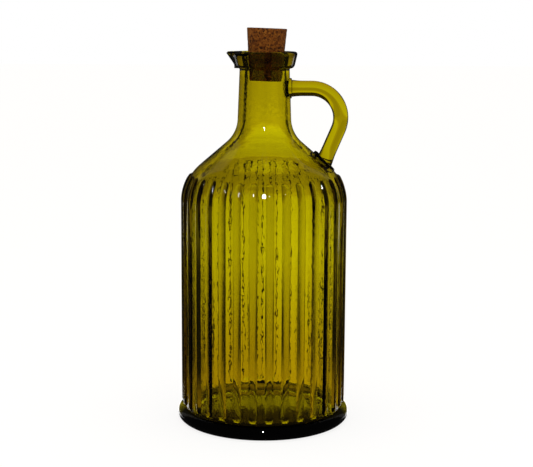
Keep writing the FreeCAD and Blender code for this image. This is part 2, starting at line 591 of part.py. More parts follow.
for number, (x, z, x_by, z_by) in enumerate(cork_points):
    side = cork_sides[number]
    hold(cork_profile, "Coincident", cork_sides[number - 1], END, side, START)
    if x_by:
        hold(cork_profile, "DistanceX", *ORIGIN, side, START, x, by=x_by)
    else:
        hold(cork_profile, "PointOnObject", side, START, Y_AXIS)
    if z < 0:
        hold(cork_profile, "DistanceY", side, START, *ORIGIN, -z, by=z_by)
    else:
        hold(cork_profile, "DistanceY", *ORIGIN, side, START, z, by=z_by)
revolve(cork, "PartDesign::Revolution", "CorkTurned", cork_profile)
cork.Placement = FreeCAD.Placement(FreeCAD.Vector(0, 0, 0), FreeCAD.Rotation(FreeCAD.Vector(0, 1, 0), 1))
cork.setExpression("Placement.Rotation.Angle", "Sizes.corkLean")
cork.setExpression("Placement.Base.x", "Sizes.cavityShift + Sizes.corkShift")
cork.setExpression("Placement.Base.z", "Sizes.lipTop")
doc.recompute()

# ---- checks, then one STEP file for each piece
for thing in doc.Objects:
    if "Invalid" in thing.State or "Error" in thing.State:
        raise RuntimeError("%s failed: %s" % (thing.Name, thing.State))
for piece in (glass, cork):
    if piece.Shape.isNull() or not piece.Shape.isValid() or len(piece.Shape.Solids) != 1:
        raise RuntimeError("%s is not one sound solid" % piece.Label)

os.makedirs("parts", exist_ok=True)
for piece in (glass, cork):
    piece.Shape.exportStep("parts/%s.step" % piece.Label)
    print("%-14s %9.1f mm3" % (piece.Label, piece.Shape.Volume))
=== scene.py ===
import json
import math

import bpy
import numpy as np
from mathutils import Matrix, Vector, noise

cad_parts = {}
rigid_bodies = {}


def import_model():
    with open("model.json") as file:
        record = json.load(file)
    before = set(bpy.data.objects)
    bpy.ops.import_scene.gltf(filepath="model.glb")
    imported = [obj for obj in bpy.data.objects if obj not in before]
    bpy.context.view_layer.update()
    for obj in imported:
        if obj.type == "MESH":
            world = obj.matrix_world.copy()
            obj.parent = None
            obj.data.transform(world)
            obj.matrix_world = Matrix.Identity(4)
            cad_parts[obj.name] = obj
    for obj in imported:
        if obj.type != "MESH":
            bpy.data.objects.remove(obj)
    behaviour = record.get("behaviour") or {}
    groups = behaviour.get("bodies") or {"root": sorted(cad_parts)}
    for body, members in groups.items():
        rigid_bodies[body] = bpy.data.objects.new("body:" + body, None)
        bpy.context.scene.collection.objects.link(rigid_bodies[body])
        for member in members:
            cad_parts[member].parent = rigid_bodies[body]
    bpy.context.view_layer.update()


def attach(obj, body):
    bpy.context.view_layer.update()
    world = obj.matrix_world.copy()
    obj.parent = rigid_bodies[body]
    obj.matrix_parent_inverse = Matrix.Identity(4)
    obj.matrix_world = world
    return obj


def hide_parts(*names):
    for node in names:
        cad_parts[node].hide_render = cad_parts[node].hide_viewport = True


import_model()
mm = 0.001
weldDistance = 0.005 * mm
tiny = 0.01  # in millimetres: points nearer than this count as one


# helpers for modelling
def clearSelection():
    for other in bpy.context.view_layer.objects:
        other.select_set(False)


def makeActive(obj):
    clearSelection()
    obj.select_set(True)
    bpy.context.view_layer.objects.active = obj


def named(name):
    bpy.context.object.name = name
    return bpy.context.object


def readPoints(obj):
    points = np.empty(len(obj.data.vertices) * 3)
    obj.data.vertices.foreach_get("co", points)
    return points.reshape(-1, 3) / mm


def writePoints(obj, points):
    obj.data.vertices.foreach_set("co", (points * mm).ravel())
    obj.data.update()


def applyModifier(obj, kind, **settings):
    makeActive(obj)
    modifier = obj.modifiers.new(kind.title(), kind)
    for key, value in settings.items():
        setattr(modifier, key, value)
    bpy.ops.object.modifier_apply(modifier=modifier.name)


def turnedShape(name, profile, sectors, columns):
    # draws the profile point by point, spins one sector of it and copies that round the upright axis
    clearSelection()
    bpy.ops.mesh.primitive_circle_add(vertices=8, radius=mm, location=(0, 0, 0))
    obj = named(name)
    bpy.ops.object.mode_set(mode="EDIT")
    bpy.ops.mesh.select_mode(type="VERT")
    bpy.ops.mesh.select_all(action="SELECT")
    bpy.ops.mesh.merge(type="CENTER")
    bpy.ops.transform.translate(value=(profile[0][0] * mm, 0, profile[0][1] * mm))
    for (x, z), (nextX, nextZ) in zip(profile, profile[1:]):
        bpy.ops.mesh.extrude_region_move(
            TRANSFORM_OT_translate={"value": ((nextX - x) * mm, 0, (nextZ - z) * mm)})
    bpy.ops.mesh.select_all(action="SELECT")
    bpy.ops.mesh.spin(steps=columns, angle=math.tau / sectors, center=(0, 0, 0), axis=(0, 0, 1))
    bpy.ops.object.mode_set(mode="OBJECT")
    bpy.ops.object.empty_add(rotation=(0, 0, math.tau / sectors))
    turn = bpy.context.object
    applyModifier(obj, "ARRAY", count=sectors, use_relative_offset=False, use_object_offset=True,
                  offset_object=turn)
    bpy.data.objects.remove(turn)
    makeActive(obj)
    bpy.ops.object.mode_set(mode="EDIT")
    bpy.ops.mesh.select_all(action="SELECT")
    bpy.ops.mesh.remove_doubles(threshold=weldDistance)
    bpy.ops.mesh.normals_make_consistent(inside=False)
    bpy.ops.object.mode_set(mode="OBJECT")
    return obj


def arcPoints(x, z, radius, start, end, steps):
    angles = [math.radians(start + (end - start) * k / steps) for k in range(steps + 1)]
    return [(x + radius * math.cos(a), z + radius * math.sin(a)) for a in angles]


def linePoints(start, end, steps):
    return [tuple(a + (b - a) * k / steps for a, b in zip(start, end)) for k in range(steps + 1)]


# the bottle's glass
# lengths are in millimetres and angles in degrees, here and in the other pieces
rib = {
    "count": 32, "shift": -1.4, "width": 5.3, "height": 1.45,
    "foot": 10.4, "sweep": 29,  # height of the lower end, and how far up the shoulder's arc the upper one is
    "columns": 12, "columnsAcross": 8,  # mesh columns to each rib and its gap, and across the rib alone
    "endRows": (0.6, 1.1, 1.5, 1.85, 2.15, 2.4, 2.65), "rowsBeyond": 6.2,  # mesh rows near the ends
    "narrowest": 0.9, "settle": 5,  # half width at an end, and the length over which the columns spread again
    "plainAbove": 165,  # rows higher than this lie ever farther past the upper end
}
bottle = {
    "bodyRadius": 51.3, "wall": 4.0, "shoulderZ": 142, "shoulderArc": 30, "shoulderAngle": 49.3,
    "heelInset": 0.5, "heelRadius": 4.6, "heelRows": (0.3, 0.8), "standInner": 45, "pushUp": 3,
    "floorRim": 4.2, "floorDome": 3, "floorCorner": 3, "shoulderGain": 1.4, "gainEnd": 100,
    "neckBlend": 20, "neckLow": 16.85, "neckHigh": 15.7, "neckFillet": 0.8,
    "lipTop": 236, "lipHeight": 10.4, "lipLow": 18.6, "lipHigh": 20.8,
    "lipRound": 1.6, "roundSet": 1.2, "lipUnder": 2.8, "underSet": 0.85,
    "mouthRadius": 12, "mouthFlare": 0.5, "mouthDepth": 8, "mouthBevel": 0.8, "cavityShift": 0.6,
    "smoothAngle": 32,
}
beak = {
    "tipRadius": 5.2, "leastTip": 0.2, "reach": 24, "slope": 35, "inset": 0.4, "bevel": 1, "blend": 0.5,
    "channelTip": 2.2, "channelEnd": 2.6, "channelDepth": 2, "channelSlope": 38,
    "channelRim": 0.4, "channelFade": 6,
}
wave = {
    "height": 0.02, "length": 5, "width": 4, "top": 215, "fade": 40, "least": 0.15,
    "fineShare": 0.4, "fineAround": 2.1, "fineUp": 2.7, "fineShift": (7, 3),
}


def wallProfile(inset):
    # shoulder, cone, blend and neck, set in by the wall for the inside
    b = bottle
    centreX = b["bodyRadius"] - b["shoulderArc"]
    lean = math.radians(b["shoulderAngle"])
    arcRadius = b["shoulderArc"] - inset
    blendRadius = b["neckBlend"] + inset
    neckLow = b["neckLow"] - inset
    coneX = centreX + arcRadius * math.cos(lean)
    coneZ = b["shoulderZ"] + arcRadius * math.sin(lean)
    blendX = neckLow + blendRadius
    blendZ = coneZ + (blendRadius - (blendX - coneX) * math.cos(lean)) / math.sin(lean)
    foot = (blendX - blendRadius * math.cos(lean), blendZ - blendRadius * math.sin(lean))
    return {"arc": (centreX, b["shoulderZ"], arcRadius), "cone": ((coneX, coneZ), foot),
            "blend": (blendX, blendZ, blendRadius), "neck": (neckLow, blendZ)}


def thickened(points):
    # the blown shoulder is thicker inside: most where the cone meets the arc, dying away both ways
    b = bottle
    peak, top = (z for x, z in wallProfile(b["wall"])["cone"])
    steepest = math.radians(b["shoulderAngle"])
    moved = []
    for x, z in points:
        share = (top - z) / (top - peak) if z > peak else (z - b["gainEnd"]) / (peak - b["gainEnd"])
        share = min(1, max(0, share))
        gain = b["shoulderGain"] * share * share * (3 - 2 * share)
        lean = math.atan2(max(z - b["shoulderZ"], 0), max(x - b["bodyRadius"] + b["shoulderArc"], tiny))
        lean = min(lean, steepest)
        moved.append((x - gain * math.cos(lean), z - gain * math.sin(lean)))
    return moved


def dome(rimX, rimZ, rise, steps):
    return [(rimX * k / steps, rimZ + rise * (1 - (k / steps) ** 2)) for k in range(steps + 1)]


def bottleProfile():
    # from the middle of the underside, up the outside, over the lip and down the hollow
    b = bottle
    outer, inner = wallProfile(0), wallProfile(b["wall"])
    body, hollow = b["bodyRadius"], b["bodyRadius"] - b["wall"]
    lipFoot = b["lipTop"] - b["lipHeight"]
    heelX = body - b["heelInset"]
    heelEnd = math.degrees(math.acos(b["heelInset"] / b["heelRadius"]))
    heelTop = b["heelRadius"] * (1 + math.sin(math.radians(heelEnd)))
    ribFoot = rib["foot"] + rib["width"] / 2
    arcX, arcZ, arcRadius = outer["arc"]
    slope = math.degrees(math.atan2(b["lipHigh"] - b["lipLow"], b["lipHeight"]))
    under = b["lipUnder"]
    low = (b["lipLow"] - under * b["underSet"], lipFoot + under)
    high = (b["lipHigh"] - b["lipRound"] * b["roundSet"], b["lipTop"] - b["lipRound"])
    rimX, rimZ = b["mouthRadius"] + b["mouthBevel"], b["lipTop"] - b["mouthBevel"]
    mouthFoot = (b["mouthRadius"] - b["mouthFlare"], b["lipTop"] - b["mouthDepth"])
    corner = b["floorRim"] + b["floorCorner"]
    fillet = b["neckFillet"]
    firstRow, lastRow = (heelTop + row for row in b["heelRows"])
    plainFrom = rib["sweep"] + rib["rowsBeyond"]
    # the last number of each call is how many steps that stretch is drawn in
    stretches = [
        ("under", dome(b["standInner"], 0, b["pushUp"], 8)),
        ("under", linePoints((b["standInner"], 0), (heelX, 0), 2)),
        ("heel", arcPoints(heelX, b["heelRadius"], b["heelRadius"], -90, heelEnd, 14)),
        ("side", linePoints((body, firstRow), (body, lastRow), 1)),
        ("side", [(body, ribFoot - t) for t in reversed(rib["endRows"])]),
        ("side", linePoints((body, ribFoot), (body, b["shoulderZ"]), 12)),
        ("shoulder", arcPoints(arcX, arcZ, arcRadius, 2, rib["sweep"], 10)),
        ("shoulder", [arcPoints(arcX, arcZ, arcRadius, rib["sweep"] + math.degrees(t / arcRadius), 0, 1)[0]
                      for t in rib["endRows"]]),
        ("shoulder", arcPoints(arcX, arcZ, arcRadius, plainFrom, b["shoulderAngle"], 5)),
        ("neck", linePoints(*outer["cone"], 2)[1:]),
        ("neck", arcPoints(*outer["blend"], 180 + b["shoulderAngle"], 180, 12)[1:]),
        ("neck", linePoints(outer["neck"], (b["neckHigh"], lipFoot - fillet), 3)[1:]),
        ("neck", arcPoints(b["neckHigh"] + fillet, lipFoot - fillet, fillet, 180, 90, 3)[1:]),
        ("lip", arcPoints(*low, under, -90, -slope, 7)),
        ("lip", linePoints(arcPoints(*low, under, -slope, 0, 1)[0],
                           arcPoints(*high, b["lipRound"], -slope, 0, 1)[0], 4)[1:]),
        ("lip", arcPoints(*high, b["lipRound"], -slope, 90, 6)[1:]),
        ("top", linePoints((high[0], b["lipTop"]), (rimX, b["lipTop"]), 5)[1:]),
        ("mouth", arcPoints(rimX, rimZ, b["mouthBevel"], 90, 180, 3)[1:]),
        ("mouth", linePoints((b["mouthRadius"], rimZ), mouthFoot, 3)[1:]),
        ("hollow", linePoints(mouthFoot, inner["neck"], 6)[1:]),
        ("hollow", arcPoints(*inner["blend"], 180, 180 + b["shoulderAngle"], 10)[1:]),
        ("hollow", thickened(linePoints(*reversed(inner["cone"]), 8)[1:])),
        ("hollow", thickened(arcPoints(*inner["arc"], b["shoulderAngle"], 0, 12)[1:])),
        ("hollow", thickened(linePoints((hollow, b["shoulderZ"]), (hollow, corner), 56)[1:])),
        ("hollow", arcPoints(hollow - b["floorCorner"], corner, b["floorCorner"], 0, -90, 6)[1:]),
        ("hollow", list(reversed(dome(hollow - b["floorCorner"], b["floorRim"], b["floorDome"], 8)))[1:]),
    ]
    profile, parts = [], []
    for part, points in stretches:
        for point in points:
            if not profile or math.dist(point, profile[-1]) > tiny:
                profile.append(point)
                parts.append(part)
    return profile, parts


def ringOfEach(points, profile):
    # which ring of the profile each point of the spun shape lies on, a batch of points at a time
    radius = np.hypot(points[:, 0], points[:, 1])
    rings = np.empty(len(points), int)
    table = np.array(profile)
    batch = 5000
    for start in range(0, len(points), batch):
        part = slice(start, start + batch)
        rings[part] = np.argmin(
            (radius[part, None] - table[:, 0]) ** 2 + (points[part, 2, None] - table[:, 1]) ** 2, axis=1)
    return rings


def pressRibs(points, profile, parts, rings):
    # turns the rings' columns so that edges run along each rib, then raises the rib between them
    radius = np.hypot(points[:, 0], points[:, 1])
    angle = np.degrees(np.arctan2(points[:, 1], points[:, 0])) % 360
    sectorAngle = 360 / rib["count"]
    column = np.rint(angle / sectorAngle * rib["columns"]).astype(int)
    sector, place = column // rib["columns"], column % rib["columns"] - rib["columns"] / 2
    z = points[:, 2]
    onSide = np.array([part in ("heel", "side", "shoulder", "neck") for part in parts])[rings]
    centreX, arcZ, arcRadius = wallProfile(0)["arc"]
    lean = np.where(z > arcZ, np.arctan2(z - arcZ, radius - centreX), 0)
    lean = np.minimum(lean, math.radians(bottle["shoulderAngle"]))
    half = rib["width"] / 2
    # how far a row lies beyond the end of the rib's middle line
    beyond = np.maximum(rib["foot"] + half - z, 0)
    above = (lean - math.radians(rib["sweep"])) * arcRadius + np.maximum(z - rib["plainAbove"], 0)
    beyond = np.where(z > arcZ, np.maximum(above, 0), beyond)
    ending = np.sqrt(np.maximum(half ** 2 - beyond ** 2, 0))
    width = np.maximum(ending, rib["narrowest"])
    width = width + (half - width) * np.clip((beyond - half) / rib["settle"], 0, 1)
    width = np.where(onSide, width, half)
    across = rib["columnsAcross"] / 2
    halfAngle = np.degrees(width / bottle["bodyRadius"])
    inRib = np.abs(place) <= across
    rest = (np.abs(place) - across) / (rib["columns"] / 2 - across)
    offset = np.where(inRib, np.abs(place) / across * halfAngle,
                      halfAngle + (sectorAngle / 2 - halfAngle) * rest) * np.sign(place)
    turned = np.radians((sector + 0.5) * sectorAngle + offset + rib["shift"])
    rod = (half ** 2 + rib["height"] ** 2) / (2 * rib["height"])
    distance = np.hypot(np.radians(offset) * bottle["bodyRadius"], beyond)
    rise = np.sqrt(np.maximum(rod ** 2 - distance ** 2, 0)) - (rod - rib["height"])
    rise = np.where(onSide & (distance < half), np.maximum(rise, 0), 0)
    newRadius = radius + rise * np.cos(lean)
    return np.stack([newRadius * np.cos(turned), newRadius * np.sin(turned), z + rise * np.sin(lean)], 1)


def drawnReach(angle, big, tip, centre):
    # how far a circle drawn out round a smaller one reaches from its middle, and nothing behind it
    touch = np.arccos(np.clip((big - tip) / centre, -1, 1))
    tipTouch = np.arctan2(tip * np.sin(touch), centre + tip * np.cos(touch))
    angle = np.abs(angle)
    onTip = centre * np.cos(angle) + np.sqrt(np.maximum(tip ** 2 - (centre * np.sin(angle)) ** 2, 0))
    leastCosine = 0.2  # keeps the reach finite away from the beak
    onLine = big / np.maximum(np.cos(touch - angle), leastCosine)
    reach = np.where(angle < tipTouch, onTip, np.where(angle < touch, onLine, big))
    return np.where(np.cos(angle) > 0, reach, 0)


def softLarger(first, second, blend):
    # the larger of the two, rounded off where they cross
    share = np.clip(0.5 + 0.5 * (second - first) / blend, 0, 1)
    return first + (second - first) * share + blend * share * (1 - share)


def insideDrawn(x, y, big, tip, centre):
    # distance of each point inside the same outline, below zero outside it
    x, y = -x, np.abs(y)
    slope = (big - tip) / centre
    flat = math.sqrt(1 - slope ** 2)
    along = -slope * y + flat * x
    near = np.hypot(x, y) - big
    far = np.hypot(x - centre, y) - tip
    between = flat * y + slope * x - big
    return -np.where(along < 0, near, np.where(along > flat * centre, far, between))


def drawLip(points, profile, parts, rings):
    # draws the collar out to a beak on the left, then sinks the pouring channel into its top
    b = bottle
    kind = np.array(parts)[rings]
    radius = np.hypot(points[:, 0], points[:, 1])
    fromBeak = np.arctan2(points[:, 1], -points[:, 0])
    depth = b["lipTop"] - beak["bevel"] - points[:, 2]
    shrink = np.where(depth > 0, depth * math.tan(math.radians(beak["slope"])), -depth)
    tip = np.maximum(beak["tipRadius"] - shrink, beak["leastTip"])
    big = b["lipHigh"] - beak["inset"] - shrink
    reach = drawnReach(fromBeak, big, tip, beak["reach"] - beak["tipRadius"])
    newRadius = np.where(kind == "lip", softLarger(radius, reach, beak["blend"]), radius)
    # the top's rings spread from the mouth to the new edge
    edge = drawnReach(fromBeak, b["lipHigh"] - (beak["inset"] + beak["bevel"]),
                      beak["tipRadius"] - beak["bevel"], beak["reach"] - beak["tipRadius"])
    topEdge = b["lipHigh"] - b["lipRound"] * b["roundSet"]
    rim = b["mouthRadius"] + b["mouthBevel"]
    share = np.clip((radius - rim) / (topEdge - rim), 0, 1)
    edge = softLarger(topEdge, edge, beak["blend"])
    newRadius = np.where(kind == "top", rim + share * (edge - rim), newRadius)
    moved = points.copy()
    stretch = newRadius / np.maximum(radius, tiny)
    moved[:, 0] *= stretch
    moved[:, 1] *= stretch
    shift = np.where(np.isin(kind, ["mouth", "hollow"]), 1, np.where(kind == "top", 1 - share, 0))
    moved[:, 0] += shift * b["cavityShift"]
    inside = insideDrawn(
        moved[:, 0], moved[:, 1], b["mouthRadius"], beak["channelTip"],
        beak["reach"] - beak["channelEnd"] - beak["channelTip"])
    sunk = inside / math.tan(math.radians(beak["channelSlope"])) + beak["channelRim"]
    sunk = np.clip(sunk, 0, beak["channelDepth"])
    sunk = np.where(moved[:, 0] < 0, sunk * np.clip(-moved[:, 0] / beak["channelFade"], 0, 1), 0)
    lowered = np.minimum(moved[:, 2], b["lipTop"] - sunk)
    moved[:, 2] = np.where(np.isin(kind, ["top", "mouth", "lip"]), lowered, moved[:, 2])
    return moved


def roughenHollow(points, parts, rings):
    # the blown inside is uneven: long shallow waves and finer ones across them
    kind = np.array(parts)[rings]
    w = wave
    for index in np.nonzero(kind == "hollow")[0]:
        x, y, z = points[index]
        if z > w["top"]:
            continue
        angle = math.atan2(y, x)
        around = Vector((math.cos(angle), math.sin(angle), 0)) * (bottle["bodyRadius"] / w["width"])
        broad = noise.noise(around + Vector((0, 0, z / w["length"])))
        finer = Vector((*w["fineShift"], z / w["length"] * w["fineUp"]))
        fine = noise.noise(around * w["fineAround"] + finer)
        push = w["height"] * (broad + w["fineShare"] * fine) * min(1, (w["top"] - z) / w["fade"] + w["least"])
        points[index, 0] += push * math.cos(angle)
        points[index, 1] += push * math.sin(angle)
    return points


profile, parts = bottleProfile()
glass = turnedShape("glassBottle", profile, rib["count"], rib["columns"])
points = readPoints(glass)
rings = ringOfEach(points, profile)
points = pressRibs(points, profile, parts, rings)
points = drawLip(points, profile, parts, rings)
points = roughenHollow(points, parts, rings)
writePoints(glass, points)
blown = glass.data.attributes.new("blown", "FLOAT", "POINT")
blown.data.foreach_set("value", (np.array(parts)[rings] == "hollow").astype(np.float32))
print("bottle turned and pressed:", len(glass.data.polygons), "faces")


# the handle and the pads it is pressed into
handle = {
    "z": 213.2, "rod": 4.8, "straight": 29.7, "bend": 18.36, "lean": 23.1, "start": 13.4,
    "around": 40, "straightSteps": 10, "bendSteps": 22, "legSteps": 8,
    "deep": 1.15, "flare": 1.12, "flareLength": 7, "flareStart": 1,
    "neckPad": 6.4, "neckPadFace": 17.1, "neckPadRim": 0.6,
    "shoulderPad": 8.8, "padProud": 1.1, "padTilt": 4, "padRoot": 2.2, "shoulderPadRim": 0.8,
    "padSides": 64, "rimSteps": 4, "straightSlack": 0.1, "legSlack": 3,
}


def pressedPad(name, radius, low, high, rim):
    # a disc with a rounded rim, standing on its axis
    clearSelection()
    bpy.ops.mesh.primitive_cylinder_add(
        vertices=handle["padSides"], radius=radius * mm, depth=(high - low) * mm,
        location=(0, 0, (high + low) / 2 * mm))
    obj = named(name)
    bpy.ops.object.transform_apply()
    bpy.ops.object.mode_set(mode="EDIT")
    bpy.ops.mesh.select_mode(type="EDGE")
    bpy.ops.mesh.select_all(action="DESELECT")
    bpy.ops.object.mode_set(mode="OBJECT")
    for edge in obj.data.edges:
        ends = [obj.data.vertices[i].co.z for i in edge.vertices]
        edge.select = min(ends) > (high - tiny) * mm
    bpy.ops.object.mode_set(mode="EDIT")
    bpy.ops.mesh.bevel(offset=rim * mm, segments=handle["rimSteps"], affect="EDGES")
    bpy.ops.object.mode_set(mode="OBJECT")
    return obj


def placePad(obj, turn, x, z):
    obj.rotation_euler = (0, math.radians(turn), 0)
    obj.location = (x * mm, 0, z * mm)
    makeActive(obj)
    bpy.ops.object.transform_apply()


def bendEnd():
    # where the rod's bend ends and its straight leg down to the shoulder begins
    lean = math.radians(handle["lean"])
    x = handle["straight"] + handle["bend"] * math.cos(lean)
    return x, handle["z"] - handle["bend"] - handle["bend"] * math.sin(lean)


def legLengths(endX, endZ):
    # how far the leg runs to the shoulder's cone, and on into the glass
    normal = math.radians(bottle["shoulderAngle"])
    centreX, arcZ, arcRadius = wallProfile(0)["arc"]
    off = (endX - centreX) * math.cos(normal) + (endZ - arcZ) * math.sin(normal) - arcRadius
    meeting = math.radians(handle["lean"] + bottle["shoulderAngle"])
    return off / math.sin(meeting), handle["padRoot"] / math.sin(meeting)


def handleRod():
    h = handle
    clearSelection()
    bpy.ops.mesh.primitive_circle_add(
        vertices=h["around"], radius=h["rod"] * mm, fill_type="NGON",
        location=(h["start"] * mm, 0, h["z"] * mm), rotation=(0, math.pi / 2, 0))
    obj = named("handleRod")
    bpy.ops.object.transform_apply()
    bpy.ops.object.mode_set(mode="EDIT")
    bpy.ops.mesh.select_all(action="SELECT")
    step = (h["straight"] - h["start"]) / h["straightSteps"]
    for k in range(h["straightSteps"]):
        bpy.ops.mesh.extrude_region_move(TRANSFORM_OT_translate={"value": (step * mm, 0, 0)})
    bpy.ops.mesh.spin(steps=h["bendSteps"], angle=math.radians(90 + h["lean"]), axis=(0, -1, 0),
                      center=(h["straight"] * mm, 0, (h["z"] - h["bend"]) * mm))
    lean = math.radians(h["lean"])
    endX, endZ = bendEnd()
    landing, root = legLengths(endX, endZ)
    for length in [landing / h["legSteps"]] * h["legSteps"] + [root]:
        onward = (-length * math.sin(lean) * mm, 0, -length * math.cos(lean) * mm)
        bpy.ops.mesh.extrude_region_move(TRANSFORM_OT_translate={"value": onward})
    bpy.ops.mesh.select_all(action="SELECT")
    bpy.ops.mesh.normals_make_consistent(inside=False)
    bpy.ops.object.mode_set(mode="OBJECT")
    points = readPoints(obj)
    flareEnds(points, endX, endZ, landing)
    # the rod is pressed a little deeper from front to back than it is tall
    points[:, 1] *= h["deep"]
    writePoints(obj, points)
    return obj


def flareEnds(points, endX, endZ, landing):
    # both ends of the rod widen a little into their pads
    h = handle
    lean = math.radians(h["lean"])
    along = np.array([-math.sin(lean), -math.cos(lean)])
    toNeck = np.clip(1 - (points[:, 0] - h["neckPadFace"]) / h["flareLength"], 0, 1)
    onStraight = points[:, 2] > h["z"] - h["rod"] - h["straightSlack"]
    toNeck = np.where(onStraight, toNeck, 0)
    fromEnd = (points[:, 0] - endX) * along[0] + (points[:, 2] - endZ) * along[1]
    toShoulder = np.clip(1 - (landing - h["flareStart"] - fromEnd) / h["flareLength"], 0, 1)
    onLeg = points[:, 2] < endZ + h["legSlack"]
    toShoulder = np.where(onLeg, toShoulder, 0)
    widen = 1 + (h["flare"] - 1) * (toNeck ** 2 + toShoulder ** 2)
    axisX = np.where(toShoulder > 0, endX + fromEnd * along[0], points[:, 0])
    axisZ = np.where(toShoulder > 0, endZ + fromEnd * along[1], h["z"])
    points[:, 0] = axisX + (points[:, 0] - axisX) * widen
    points[:, 1] *= widen
    points[:, 2] = np.where(widen > 1, axisZ + (points[:, 2] - axisZ) * widen, points[:, 2])


def joinSolids(target, *others):
    for other in others:
        applyModifier(target, "BOOLEAN", operation="UNION", solver="MANIFOLD", object=other)
        bpy.data.objects.remove(other)


rod = handleRod()
neckPad = pressedPad(
    "neckPad", handle["neckPad"], handle["start"], handle["neckPadFace"], handle["neckPadRim"])
placePad(neckPad, 90, 0, handle["z"])
shoulderPad = pressedPad(
    "shoulderPad", handle["shoulderPad"], -handle["padRoot"], handle["padProud"], handle["shoulderPadRim"])
lean = math.radians(handle["lean"])
endX, endZ = bendEnd()
length = legLengths(endX, endZ)[0]
placePad(shoulderPad, 90 - bottle["shoulderAngle"] + handle["padTilt"],
         endX - length * math.sin(lean), endZ - length * math.cos(lean))
joinSolids(glass, neckPad, shoulderPad, rod)
makeActive(glass)
bpy.ops.object.shade_smooth_by_angle(angle=math.radians(bottle["smoothAngle"]))
print("handle joined on:", len(glass.data.polygons), "faces")


# the cork
cork = {
    "length": 32.4, "proud": 14.4, "taper": 0.074, "lean": 1.93, "shift": 0.94, "atLip": 11.47,
    "rounding": 0.5, "rimSteps": 3, "rows": 44, "capRows": 12, "sectors": 8, "around": 128,
    "hub": 0.2, "middle": 0.5,
    "pit": 0.22, "grain": 1.6, "cellLevel": 0.25, "cellShare": 0.5, "dentScale": 1.3, "dentLevel": 0.1,
    "ragged": 0.45, "raggedHigh": 1.2, "raggedScale": 0.8, "capDepth": 0.1, "smoothAngle": 40,
}


def corkPiece():
    c = cork
    low, high = c["proud"] - c["length"], c["proud"]
    bottom, crown = c["atLip"] + c["taper"] * low, c["atLip"] + c["taper"] * high
    corner = c["rounding"]
    profile = [(0.0, low)] + linePoints((bottom * c["hub"], low), (bottom - corner, low), c["capRows"])
    profile += arcPoints(bottom - corner, low + corner, corner, -90, 0, c["rimSteps"])
    profile += linePoints((bottom, low + corner), (crown, high - corner), c["rows"])[1:]
    profile += arcPoints(crown - corner, high - corner, corner, 0, 90, c["rimSteps"])[1:]
    profile += linePoints((crown - corner, high), (crown * c["hub"], high), c["capRows"])[1:] + [(0.0, high)]
    obj = turnedShape("corkStopper", profile, c["sectors"], c["around"] // c["sectors"])
    points = readPoints(obj)
    for index, (x, y, z) in enumerate(points):
        # pits where a granule is missing
        place = Vector((x, y, z)) / c["grain"]
        missing = min(0, noise.cell(place) - c["cellLevel"]) * c["cellShare"]
        dent = min(0, noise.noise(place * c["dentScale"]) + c["dentLevel"])
        push = max(-c["pit"], (missing + dent) * c["pit"])
        radius = math.hypot(x, y)
        # the two middle points have no side to move to
        if radius > c["middle"]:
            points[index, 0] += push * x / radius * min(1, radius / bottom)
            points[index, 1] += push * y / radius * min(1, radius / bottom)
        if z < low + c["raggedHigh"]:
            # the lower rim is a little ragged
            across = Vector((x * c["raggedScale"], y * c["raggedScale"], 3))
            points[index, 2] += c["ragged"] * abs(noise.noise(across))
        if z > high - c["capDepth"]:
            points[index, 2] += push / 2
    writePoints(obj, points)
    obj.rotation_euler = (0, math.radians(c["lean"]), 0)
    obj.location = (c["shift"] * mm, 0, bottle["lipTop"] * mm)
    makeActive(obj)
    bpy.ops.object.transform_apply()
    bpy.ops.object.shade_smooth_by_angle(angle=math.radians(c["smoothAngle"]))
    return obj


stopper = corkPiece()
print("cork shaped:", len(stopper.data.polygons), "faces")


# materials
def newMaterial(name):
    material = bpy.data.materials.new(name)
    material.use_nodes = True
    material.node_tree.nodes.clear()
    return material, material.node_tree.nodes, material.node_tree.links


glassFinish = {
    "refraction": 1.52, "roughness": 0,
    "red": 92, "green": 106, "blue": 900,  # how strongly the glass swallows each colour, per metre
    "rippleDepth": 0.08 * mm, "rippleScale": 420, "rippleStretch": 0.6,
}


def bottleGlass():
    g = glassFinish
    material, nodes, links = newMaterial("greenGlass")
    output = nodes.new("ShaderNodeOutputMaterial")
    surface = nodes.new("ShaderNodeBsdfPrincipled")
    surface.inputs["Base Color"].default_value = (1, 1, 1, 1)
    surface.inputs["Transmission Weight"].default_value = 1
    surface.inputs["Roughness"].default_value = g["roughness"]
    surface.inputs["IOR"].default_value = g["refraction"]
    body = nodes.new("ShaderNodeVolumeAbsorption")
    most = g["blue"]
    body.inputs["Color"].default_value = (1 - g["red"] / most, 1 - g["green"] / most, 0, 1)
    body.inputs["Density"].default_value = most
    # the blown inside is finely uneven, the pressed outside is not
    place = nodes.new("ShaderNodeTexCoord")
    stretch = nodes.new("ShaderNodeMapping")
    stretch.inputs["Scale"].default_value = (1, 1, g["rippleStretch"])
    grain = nodes.new("ShaderNodeTexNoise")
    grain.inputs["Scale"].default_value = g["rippleScale"]
    grain.inputs["Detail"].default_value = 1
    blown = nodes.new("ShaderNodeAttribute")
    blown.attribute_name = "blown"
    ripple = nodes.new("ShaderNodeBump")
    ripple.inputs["Distance"].default_value = g["rippleDepth"]
    links.new(place.outputs["Object"], stretch.inputs["Vector"])
    links.new(stretch.outputs["Vector"], grain.inputs["Vector"])
    links.new(grain.outputs["Fac"], ripple.inputs["Height"])
    links.new(blown.outputs["Fac"], ripple.inputs["Strength"])
    links.new(ripple.outputs["Normal"], surface.inputs["Normal"])
    links.new(surface.outputs["BSDF"], output.inputs["Surface"])
    links.new(body.outputs["Volume"], output.inputs["Volume"])
    return material


